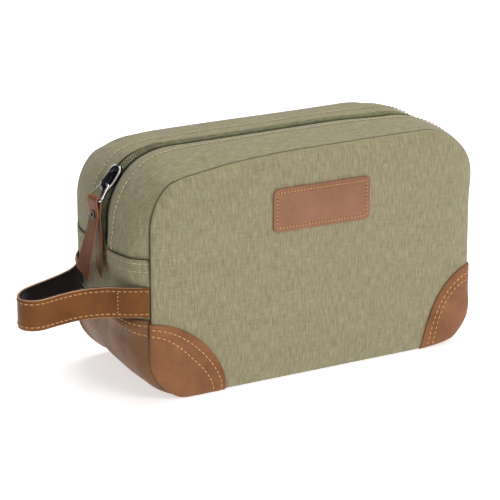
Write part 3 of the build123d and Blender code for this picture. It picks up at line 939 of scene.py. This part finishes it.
def label_ring(inset, lift, scale=1.0):
    """A rounded rectangle's points, turned and placed on the panel."""
    half_x, half_z = (value - inset for value in LABEL_HALF)
    radius = max(0.4, LABEL_CORNER - inset)
    ring = []
    following = LABEL_QUARTERS[1:] + LABEL_QUARTERS[:1]
    for (corner_x, corner_z, first), (next_x, next_z, _) in zip(LABEL_QUARTERS, following):
        for step in range(9):
            turn = math.radians(first + step * 90 / 8)
            ring.append((corner_x * (half_x - radius) + radius * math.cos(turn),
                         corner_z * (half_z - radius) + radius * math.sin(turn)))
        x, z = ring[-1]
        next_turn = math.radians(first + 90)
        goal = (next_x * (half_x - radius) + radius * math.cos(next_turn),
                next_z * (half_z - radius) + radius * math.sin(next_turn))
        steps = 14 if first in (0, 180) else 6
        ring += [(x + (goal[0] - x) * i / steps, z + (goal[1] - z) * i / steps) for i in range(1, steps)]
    cosine, sine = math.cos(LABEL_TILT), math.sin(LABEL_TILT)
    centre_x, centre_z = LABEL_CENTRE
    return [
        (centre_x + scale * (x * cosine - z * sine), centre_z + scale * (x * sine + z * cosine), lift)
        for x, z in ring
    ]


label_rings = [label_ring(inset, lift) for inset, lift in (
    (0.1, 0.1), (0.0, 0.7), (0.25, 1.15), (0.8, 1.35), (2.2, 1.35), (2.5, 1.25), (2.9, 1.05), (3.3, 1.25),
    (3.6, 1.38), (4.6, 1.45))]
label_rings += [label_ring(4.6, 1.45, scale) for scale in (0.9, 0.78, 0.62, 0.44, 0.24)]
label = ring_sheet("label", label_rings, LABEL_LEATHER, "bag", panel_at, 1.0)
# Painted shade in the groove under the label's stitches: the groove ring gets the full share.
LABEL_GROOVE_RING = 6
ring_size = len(label_rings[0])
groove_start = LABEL_GROOVE_RING * ring_size
for item in label.data.attributes["cloth"].data[groove_start:groove_start + ring_size]:
    item.vector = (item.vector[0], item.vector[1], 1.0)
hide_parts("label_patch")
line = [(panel_at(x, z, 1.15), Vector((0, -1, 0))) for x, z, _ in label_ring(LABEL_STITCH_INSET, 0)]
line.append(line[0])
stitches("label_stitches", line, THREAD_TAN, "bag", length=1.5, gap=1.0, radius=0.42)


# ---- rows of stitches on the gusset ----
def gusset_line(runs, depths, out):
    """A line over the gusset, for stitches, with the outward direction at each point."""
    return [
        (gusset_at(run, depth, out), gusset_normal(run, depth, out)) for run, depth in zip(runs, depths)
    ]


top_runs = spread(RUN_CROSS + 1, opposite(RUN_CROSS) - 1, 1.5)
TOPSTITCH_DEPTHS = (("front", -21.0), ("back", 16.0))
for name, row_depth in TOPSTITCH_DEPTHS:
    line = gusset_line(top_runs, [row_depth] * len(top_runs), 0.35)
    stitches(f"{name}_zip_topstitch", line, THREAD_PALE, "bag", length=2.3, gap=1.1, radius=0.42)

cross_depths = spread(-49.8, 49.8, 1.2)
for side, _ in ENDS:
    for row_name, run, out, thread, size in (
        ("upper_cross", RUN_CROSS - 2.5, 0.4, THREAD_PALE, 0.32),
        ("lower_cross", RUN_CROSS - 8.0, 0.3, THREAD_PALE, 0.32),
        ("upper_leather", RUN_LEATHER - 3.8, 0.85, THREAD_TAN, 0.34),
        ("lower_leather", RUN_LEATHER - 10.2, 0.8, THREAD_TAN, 0.34),
    ):
        (place, _), = mirrored([(run, 0)], side)
        line = gusset_line([place] * len(cross_depths), cross_depths, out)
        stitches(f"{side}_{row_name}_stitches", line, thread, "bag", radius=size)

# ---- zip ----
tape_runs = [RUN_CROSS - 5] + spread(RUN_CROSS, RUN_MIDDLE, 2.4)
tape_runs += [opposite(run) for run in reversed(tape_runs[:-1])]
TAPE_DEPTHS = [(16, -1.35), (12, -1.35), (9, -1.35), (8, -1.35), (6.5, -1.3), (5, -1.25), (3.8, -1.2),
               (3, -1.2), (1.6, -1.2), (0.9, -1.25)]
TAPE_THICK = 0.6
COIL_PITCH = 1.5
COIL_STEPS = 10
COIL_WIRE = 0.38
COIL_SIDES = 6
COIL_HEIGHT = 0.05
COIL_MIDDLE = 1.85            # from the zip's middle to the middle of a coil
COIL_HALF_WIDTH = 1.22
COIL_HALF_HEIGHT = 0.68
COIL_AXIS = Vector((0, 0, 60))    # the coils face away from here


def coil(name, side):
    """A flattened helix of filament along one side of the zip."""
    start, end = RUN_CROSS - 3, opposite(RUN_CROSS) + 3
    loops = int((end - start) / COIL_PITCH)
    centres = []
    for i in range(loops * COIL_STEPS + 1):
        turn = 2 * math.pi * i / COIL_STEPS
        run = start + COIL_PITCH * (i / COIL_STEPS + (0.5 if side > 0 else 0.0))
        reach = COIL_MIDDLE + COIL_HALF_WIDTH * math.cos(turn)
        centres.append(gusset_at(run, side * reach, COIL_HEIGHT + COIL_HALF_HEIGHT * math.sin(turn)))
    points = []
    for i, centre in enumerate(centres):
        along = direction(centres, i)
        first = along.cross(Vector((centre.x, 0, centre.z)) - COIL_AXIS).normalized()
        second = along.cross(first).normalized()
        points += ring_round(centre, first, second, COIL_WIRE, COIL_SIDES)
    return new_piece(name, points, rod_faces(len(centres), COIL_SIDES), COIL, "bag", outward=False)


for name, side in SIDES:
    depths = [(side * depth, out) for depth, out in TAPE_DEPTHS]
    tape = gusset_sheet(f"{name}_tape", [(run, 0.0) for run in tape_runs], depths, TAPE_CLOTH, TAPE_THICK)
    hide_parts(f"{name}_zip_tape")
    chain = coil(f"{name}_coil", side)
    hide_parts(f"{name}_zip_coil")

# ---- slider and ring keep their CAD shape ----
KEPT_NODES = (("zip_slider", GUNMETAL), ("slider_bridge", GUNMETAL), ("pull_ring", POLISHED),
              ("pull_eyelet", DARK_RING), ("base_board", BOARD))
for node, material in KEPT_NODES:
    data = frame["nodes"][node].data
    data.materials.clear()
    data.materials.append(material)

# ---- leather pull ----
joint_at = {joint["name"]: Vector(joint["pos_m"]) / MM for joint in frame["joints"]}
PULL_PIVOT = joint_at["pull_swing"]
PULL_THICK = 1.4
PULL_HALF = 6.1
FOLD_RADIUS = 1.85
OUTER_TAIL = ((-9.4, -49.6), (-8.4, -43), (-5.9, -32), (-3.0, -21), (-1.0, -12.5), (-0.75, -8.5),
              (-1.3, -4.5), (-1.8, -1.5))
INNER_TAIL = ((1.8, -1.5), (1.3, -4.5), (0.75, -8.5), (0.8, -12.5), (1.5, -21), (2.1, -32), (2.3, -43),
              (2.1, -48.6))


def smooth_line(points, step):
    """A Catmull-Rom curve through points, as dense points about a step apart."""
    ends = [2 * points[0] - points[1]] + list(points) + [2 * points[-1] - points[-2]]
    line = []
    for a, b, c, d in zip(ends, ends[1:], ends[2:], ends[3:]):
        count = max(1, round((c - b).length / step))
        for i in range(count):
            t = i / count
            line.append(0.5 * (2 * b + (c - a) * t + (2 * a - 5 * b + 4 * c - d) * t * t
                               + (3 * b - a - 3 * c + d) * t ** 3))
    line.append(points[-1])
    return line


def pull_line():
    """The strip's middle line, seen from the front: up the outer tail, over, down the inner."""
    fold = [(-FOLD_RADIUS * math.cos(a), FOLD_RADIUS * math.sin(a)) for a in spread(0, math.pi, 0.4)]
    return smooth_line([Vector(place) for place in [*OUTER_TAIL, *fold, *INNER_TAIL]], 0.9)


# Half of the strip's section, from edge to edge, as shares of its half width and its thickness.
PULL_UPPER = [(-1.0, 0.0), (-0.97, 0.3), (-0.9, 0.44), (-0.6, 0.5), (-0.2, 0.5), (0.2, 0.5), (0.6, 0.5),
              (0.9, 0.44), (0.97, 0.3)]
PULL_PROFILE = PULL_UPPER + [(-across, -through) for across, through in PULL_UPPER]
TAIL_SLANT = math.tan(math.radians(30))
OUTER_TWIST = math.radians(17)
INNER_TWIST = math.radians(-10)
SLANT_OVER = 22.0             # the slant and the twist fade out this far from a tail's end
TWIST_OVER = 34.0


def pull_points(path):
    """The strip's profile carried along its middle line, each tail twisted and cut on a slant."""
    lengths = lengths_along(path)
    points = []
    for i, here in enumerate(path):
        along = direction(path, i)
        side = Vector((-along.y, along.x))
        to_end = min(lengths[i], lengths[-1] - lengths[i])
        slant = TAIL_SLANT * (1 - between(to_end, 0, SLANT_OVER))
        down = -1 if lengths[i] < lengths[-1] / 2 else 1
        twist = OUTER_TWIST if down < 0 else INNER_TWIST
        twist *= 1 - between(to_end, 0, TWIST_OVER)
        for across, through in PULL_PROFILE:
            depth = across * PULL_HALF
            spot = here + side * through * PULL_THICK - along * down * depth * slant
            turned = Vector((spot.x - depth * math.sin(twist), depth * math.cos(twist), spot.y))
            points.append(PULL_PIVOT + turned)
    return points


pull_path = pull_line()
points = pull_points(pull_path)
cloth = [(0.0, 0.0, 0.0)] * len(points)
faces = rod_faces(len(pull_path), len(PULL_PROFILE))
pull = new_piece("pull_strip", points, faces, PULL_LEATHER, "pull", cloth, outward=False)
pull.data.materials.append(PULL_EDGE)
for face in pull.data.polygons:
    if abs(face.normal.y) > 0.6:
        face.material_index = 1
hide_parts("pull_tab")

# ---- slider: polished rims along both sides of its plate, near-white as a painted highlight ----
SLIDER_TURN = math.radians(35)
ZIP_CORNER_RADIUS = 45.15
DOWN_ZIP = Vector((-math.sin(SLIDER_TURN), 0.0, -math.cos(SLIDER_TURN)))
SLIDER_OUT = Vector((-math.cos(SLIDER_TURN), 0.0, math.sin(SLIDER_TURN)))
SLIDER_AT = joint_at["slider_travel"] + ZIP_CORNER_RADIUS * SLIDER_OUT
RIM_ROUTE = [(-8.0, 1.2), (-7.9, 3.4), (-5.6, 6.0), (-1.2, 6.3), (3.2, 6.1), (6.6, 4.9), (9.7, 3.5),
             (9.9, 1.4)]
RIM_HEIGHT = 2.75
RIM_RADIUS = 0.62
RIM_SIDES = 10


def tube(name, line, radius, material, body, sides):
    """A round bar along a line of points, thinner at its two ends."""
    points = []
    for i, centre in enumerate(line):
        along = direction(line, i)
        first = along.cross(SLIDER_OUT).normalized()
        second = along.cross(first).normalized()
        thick = radius * (0.35 + 0.65 * between(min(i, len(line) - 1 - i), 0, 4))
        points += ring_round(centre, first, second, thick, sides)
    return new_piece(name, points, rod_faces(len(line), sides), material, body, outward=False)


for name, side in SIDES:
    line = smooth_line([Vector((x, side * y)) for x, y in RIM_ROUTE], 0.5)
    line = [SLIDER_AT + DOWN_ZIP * p.x + Vector((0, p.y, 0)) + SLIDER_OUT * RIM_HEIGHT for p in line]
    rim = tube(f"slider_{name}_rim", line, RIM_RADIUS, RIM_METAL_PAINTED_HIGHLIGHT, "slider", RIM_SIDES)

# ---- wrist strap ----
STRAP_ROUTE = [
    ((-124.6, -50.4), 0), ((-131.0, -42.3), 20), ((-142.5, -30.8), 14), ((-161, -25), 40),
    ((-182, -29.2), 60), ((-202.2, -34.9), 8), ((-203.2, -20.3), 12), ((-194, -8.5), 13),
    ((-168, 3.2), 60), ((-148.5, 13), 40),
    ((-135.6, 25.4), 25), ((-130.9, 37.8), 20), ((-124.5, 50.3), 0)]
STRAP_LOW_Z = 56.7
STRAP_TOP_Z = 77.1
STRAP_ROOT_RISE = 1.5
STRAP_RISE_OVER = 13          # points over which the front root's rise fades


def rounded_route(route, step):
    """Points along a route of straight runs with round corners."""
    line = [Vector(route[0][0])]
    for (before, _), (corner, radius), (after, _) in zip(route, route[1:], route[2:]):
        before, corner, after = Vector(before), Vector(corner), Vector(after)
        into, away = (corner - before).normalized(), (after - corner).normalized()
        turn = math.acos(max(-1.0, min(1.0, into.dot(away))))
        cut = radius * math.tan(turn / 2)
        start = corner - into * cut
        side = 1 if into.x * away.y - into.y * away.x > 0 else -1
        centre = start + Vector((-into.y, into.x)) * side * radius
        last = line[-1]
        line += [last.lerp(start, t) for t in spread(0, 1, step / max(step, (start - last).length))[1:]]
        for share in spread(0, 1, min(1.0, step / max(1e-6, radius * turn)))[1:]:
            spoke = start - centre
            angle = side * turn * share
            line.append(centre + Vector((spoke.x * math.cos(angle) - spoke.y * math.sin(angle),
                                         spoke.x * math.sin(angle) + spoke.y * math.cos(angle))))
    last, goal = line[-1], Vector(route[-1][0])
    line += [last.lerp(goal, t) for t in spread(0, 1, step / (goal - last).length)[1:]]
    return line


def eased(line, times):
    """The same line with its curvature evened out."""
    for _ in range(times):
        line = [line[0]] + [(a + 2 * b + c) / 4 for a, b, c in zip(line, line[1:], line[2:])] + [line[-1]]
    return line


strap_line = eased(rounded_route(STRAP_ROUTE, 1.6), 12)
STRAP_MID_Z = (STRAP_LOW_Z + STRAP_TOP_Z) / 2
STRAP_HALF = (STRAP_TOP_Z - STRAP_LOW_Z) / 2


def strap_frame(i):
    """A point of the strap's line, the way along it and the way to its leather side."""
    here = strap_line[i]
    along = direction(strap_line, i)
    outer = Vector((-along.y, along.x))
    return here, along, outer


def strap_point(i, height, out):
    """A point of the strap: its place along, height from the middle line and way out."""
    here, _, outer = strap_frame(i)
    spot = here + outer * out
    rise = STRAP_ROOT_RISE * (1 - between(i, 0, STRAP_RISE_OVER))
    return Vector((spot.x, spot.y, STRAP_MID_Z + height + rise))


# The leather lies to the left of the route's direction, which is outside the loop or inside it.
route_area = sum(a.x * b.y - a.y * b.x for a, b in zip(strap_line, strap_line[1:] + strap_line[:1]))
OUTSIDE = -1 if route_area > 0 else 1


STRAP_TAPER = 6               # points over which each end thins
STRAP_END_THICKNESS = 0.3


def strap_pinch(i):
    """How thick the strap is, where its ends are pressed flat in the seams."""
    to_end = min(i, len(strap_line) - 1 - i)
    return STRAP_END_THICKNESS + (1 - STRAP_END_THICKNESS) * between(to_end, 0, STRAP_TAPER)


def strap_layer(name, low, high, half, material, edge=0.35):
    """One layer of the strap, between two distances from the route."""
    middle, thick = (low + high) / 2, (high - low) / 2
    heights, rim = spread(half - edge, edge - half, 2.2), thick - edge
    ring = [(height, thick) for height in heights] + [(-half, rim), (-half, -rim)]
    ring += [(-height, -thick) for height in heights] + [(half, -rim), (half, rim)]
    points = []
    for i in range(len(strap_line)):
        for height, out in ring:
            points.append(strap_point(i, height, OUTSIDE * (middle + out) * strap_pinch(i)))
    cloth = [(0.0, 0.0, 0.0)] * len(points)
    faces = rod_faces(len(strap_line), len(ring))
    return new_piece(name, points, faces, material, None, cloth, outward=False)


def bend_with_strap(piece):
    """Bake the piece's placement into its mesh."""
    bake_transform(piece)


STRAP_EDGE_INSET = 2.5
# Distances out from the route: the leather's outside, the split between its two layers, the suede's face.
STRAP_OUTSIDE = 2.0
STRAP_SPLIT = 0.7
STRAP_INSIDE = -1.0
STRAP_STITCH_OUT = 1.95
strap = strap_layer("strap", STRAP_SPLIT, STRAP_OUTSIDE, STRAP_HALF, STRAP_LEATHER)
strap.data.materials.append(RAW_EDGE)
for face in strap.data.polygons:
    if abs(face.normal.z) > 0.5:
        face.material_index = 1
strap_inside = strap_layer("strap_suede", STRAP_INSIDE, STRAP_SPLIT, STRAP_HALF - 0.2, SUEDE, 0.2)
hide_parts("strap_loop", "strap_front_root", "strap_back_root")
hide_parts("strap_lining")
for name, height in (("upper", STRAP_HALF - STRAP_EDGE_INSET), ("lower", STRAP_EDGE_INSET - STRAP_HALF)):
    line = []
    for i in range(len(strap_line)):
        _, _, outer = strap_frame(i)
        normal = Vector((outer.x, outer.y, 0)) * OUTSIDE
        line.append((strap_point(i, height, OUTSIDE * STRAP_STITCH_OUT * strap_pinch(i)), normal))
    row = stitches(f"strap_{name}_stitches", line, THREAD_SAND, None, length=2.6, gap=1.1, radius=0.34)
    bend_with_strap(row)

# A short row across the front root and across the back root holds the strap to the bag's end.
CROSS_ROW_X = -138.6
for name, order in (("front", 1), ("back", -1)):
    i = next(i for i in range(len(strap_line))[::order] if strap_line[i].x < CROSS_ROW_X)
    _, _, outer = strap_frame(i)
    normal = Vector((outer.x, outer.y, 0)) * OUTSIDE
    reach = STRAP_HALF - STRAP_EDGE_INSET
    heights = spread(-reach, reach, 0.8)
    line = [(strap_point(i, height, OUTSIDE * STRAP_STITCH_OUT), normal) for height in heights]
    stitches(f"strap_{name}_cross_stitches", line, THREAD_SAND, "bag", length=1.5, gap=1.2, radius=0.34)
bend_with_strap(strap)
bend_with_strap(strap_inside)

# ---- floor, light and camera ----
floor_mesh = bpy.data.meshes.new("floor")
FLOOR_HALF = 6.0
floor_mesh.from_pydata(
    [(-FLOOR_HALF, -FLOOR_HALF, 0), (FLOOR_HALF, -FLOOR_HALF, 0), (FLOOR_HALF, FLOOR_HALF, 0),
     (-FLOOR_HALF, FLOOR_HALF, 0)], [], [(0, 1, 2, 3)])
floor = bpy.data.objects.new("floor", floor_mesh)
bpy.context.collection.objects.link(floor)
floor_surface = Surface("floor", roughness=0.9, specular_ior_level=0.1)
floor_surface.shader.inputs["Base Color"].default_value = (0.8, 0.8, 0.8, 1)
floor_surface.shader.inputs["Emission Color"].default_value = (1, 1, 1, 1)
floor_surface.shader.inputs["Emission Strength"].default_value = 0.6
floor_mesh.materials.append(floor_surface.material)

world = bpy.data.worlds.new("studio")
bpy.context.scene.world = world
world.use_nodes = True
backdrop = next(n for n in world.node_tree.nodes if n.type == "BACKGROUND")
backdrop.inputs["Color"].default_value = (1, 1, 1, 1)
backdrop.inputs["Strength"].default_value = 0.26


def soft_light(name, place, aim, size, power):
    """A large square lamp aimed at a point."""
    lamp = bpy.data.lights.new(name, "AREA")
    lamp.size = size
    lamp.energy = power
    light = bpy.data.objects.new(name, lamp)
    light.location = place
    light.rotation_euler = (Vector(aim) - Vector(place)).to_track_quat("-Z", "Y").to_euler()
    bpy.context.collection.objects.link(light)


soft_light("key", (0.6, -2.2, 1.7), (0, 0, 0.08), 1.5, 34)
soft_light("top", (0.6, 0.4, 2.2), (0, 0, 0.1), 1.8, 38)

CAMERA_AT = Vector((-841.1, -1383.4, 568.6)) * MM
CAMERA_AIM = Vector((-16.3, 6.7, 71.7)) * MM
CAMERA_LENS = 179.16
camera_data = bpy.data.cameras.new("camera")
camera_data.lens = CAMERA_LENS
camera_data.sensor_width = 36.0
camera_data.clip_end = 50.0
camera = bpy.data.objects.new("camera", camera_data)
camera.location = CAMERA_AT
camera.rotation_euler = (CAMERA_AIM - CAMERA_AT).to_track_quat("-Z", "Y").to_euler()
bpy.context.collection.objects.link(camera)
bpy.context.scene.camera = camera
bpy.context.scene.view_settings.view_transform = "Standard"
